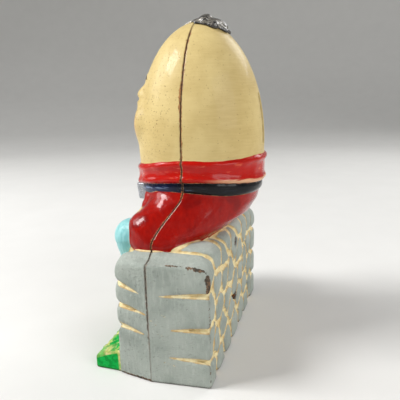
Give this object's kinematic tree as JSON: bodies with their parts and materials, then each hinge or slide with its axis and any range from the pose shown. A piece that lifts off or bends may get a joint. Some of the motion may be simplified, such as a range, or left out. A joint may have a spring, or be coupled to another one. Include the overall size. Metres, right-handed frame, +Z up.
{
  "type": "mechanical coin bank",
  "caption": "Cast-iron mechanical coin bank: an egg-shaped figure in a red suit sits on a stone wall, with a coin slot in the back of the head and eyes that roll.",
  "frame": {"origin": "middle of the foot, on the surface that the bank stands on", "axes": "+Z up, -Y the way the figure faces, +X along the wall to the figure's left"},
  "size_m": [0.147, 0.0962, 0.219],
  "materials": {
    "painted_iron": "semi-gloss enamel in cream, red, blue, grey and green",
    "black_enamel": "gloss, worn",
    "eye_enamel": "gloss",
    "bare_iron": "as cast",
    "steel": "plain sheet and wire",
    "dark_steel": "oiled",
    "brass": "dull"
  },
  "bodies": {
    "bank": {"front_casting": "painted_iron", "rear_casting": "painted_iron", "hair_tuft": "black_enamel", "hair_tuft_nut": "dark_steel", "assembly_screw_upper": "dark_steel", "assembly_screw_lower": "dark_steel", "base_plate": "bare_iron", "base_plate_screw_front_left": "dark_steel", "base_plate_screw_front_right": "dark_steel", "base_plate_screw_rear_left": "dark_steel", "base_plate_screw_rear_right": "dark_steel", "trap_guide_front": "bare_iron", "trap_guide_rear": "bare_iron", "trap_guide_rivet_1": "dark_steel", "trap_guide_rivet_2": "dark_steel", "trap_guide_rivet_3": "dark_steel", "trap_guide_rivet_4": "dark_steel", "chute_plate_left": "steel", "chute_plate_right": "steel", "chute_floor": "steel", "chute_screw_lower": "dark_steel", "chute_screw_upper": "dark_steel", "lever_pivot_pin": "steel", "lever_stop_pin": "steel", "eye_bracket": "steel", "eye_bracket_screw": "dark_steel"},
    "coin_lever": {"coin_lever": "bare_iron", "counterweight": "bare_iron", "counterweight_rivet": "steel"},
    "eye_link": {"eye_link": "steel"},
    "eyes": {"eye_axle": "steel", "eye_left": "eye_enamel", "eye_right": "eye_enamel", "eye_crank": "brass"},
    "coin_trap": {"coin_trap_cover": "steel"}
  },
  "joints": [
    {"name": "coin_lever_pivot", "type": "hinge", "parent": "bank", "child": "coin_lever", "pos_m": [0, 0.002, 0.112], "axis": [-1, 0, 0], "range_deg": [0, 14]},
    {"name": "eye_link_pivot", "type": "hinge", "parent": "coin_lever", "child": "eye_link", "pos_m": [0, -0.0195, 0.114], "axis": [-1, 0, 0], "range_deg": [-17.5, 0]},
    {"name": "eye_roll", "type": "hinge", "parent": "bank", "child": "eyes", "pos_m": [0, -0.0266, 0.168], "axis": [1, 0, 0], "range_deg": [0, 46.4]},
    {"name": "coin_trap_slide", "type": "slide", "parent": "bank", "child": "coin_trap", "axis": [1, 0, 0], "range_m": [0, 0.038]}
  ],
  "couplings": [
    {"joint": "eye_link_pivot", "follows": "coin_lever_pivot", "ratio": -1.25},
    {"joint": "eye_roll", "follows": "coin_lever_pivot", "ratio": 3.314}
  ]
}
